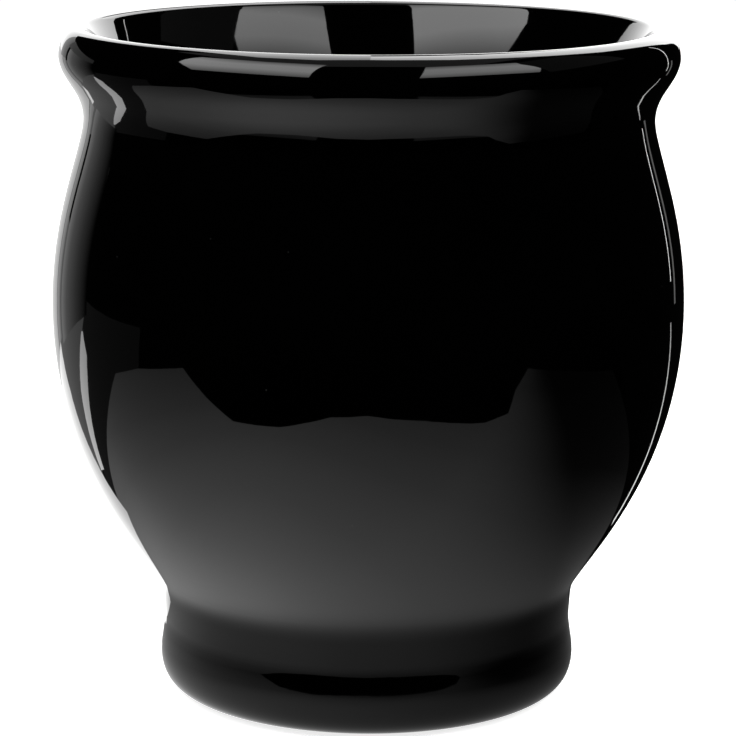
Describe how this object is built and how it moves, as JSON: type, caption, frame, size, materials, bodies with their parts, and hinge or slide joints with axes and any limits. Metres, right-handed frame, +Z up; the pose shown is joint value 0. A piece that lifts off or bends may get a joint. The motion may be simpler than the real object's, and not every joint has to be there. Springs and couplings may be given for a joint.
{
  "type": "stoneware cup",
  "caption": "Handleless glazed stoneware cup with a flared round lip, drawn-in neck, round belly, tight waist and short foot, for hot or cold drinks.",
  "frame": {"origin": "on the table, under the middle of the foot", "axes": "+Z up, along the axis that the cup is turned about; X and Y lie in the table"},
  "size_m": [0.094, 0.094, 0.1001],
  "materials": {
    "bare_clay": "unglazed fired stoneware, matt",
    "black_glaze": "high gloss black glaze"
  },
  "bodies": {
    "root": {"stoneware_body": "bare_clay", "outer_glaze": "black_glaze", "liner_glaze": "black_glaze", "base_glaze": "black_glaze"}
  },
  "joints": []
}
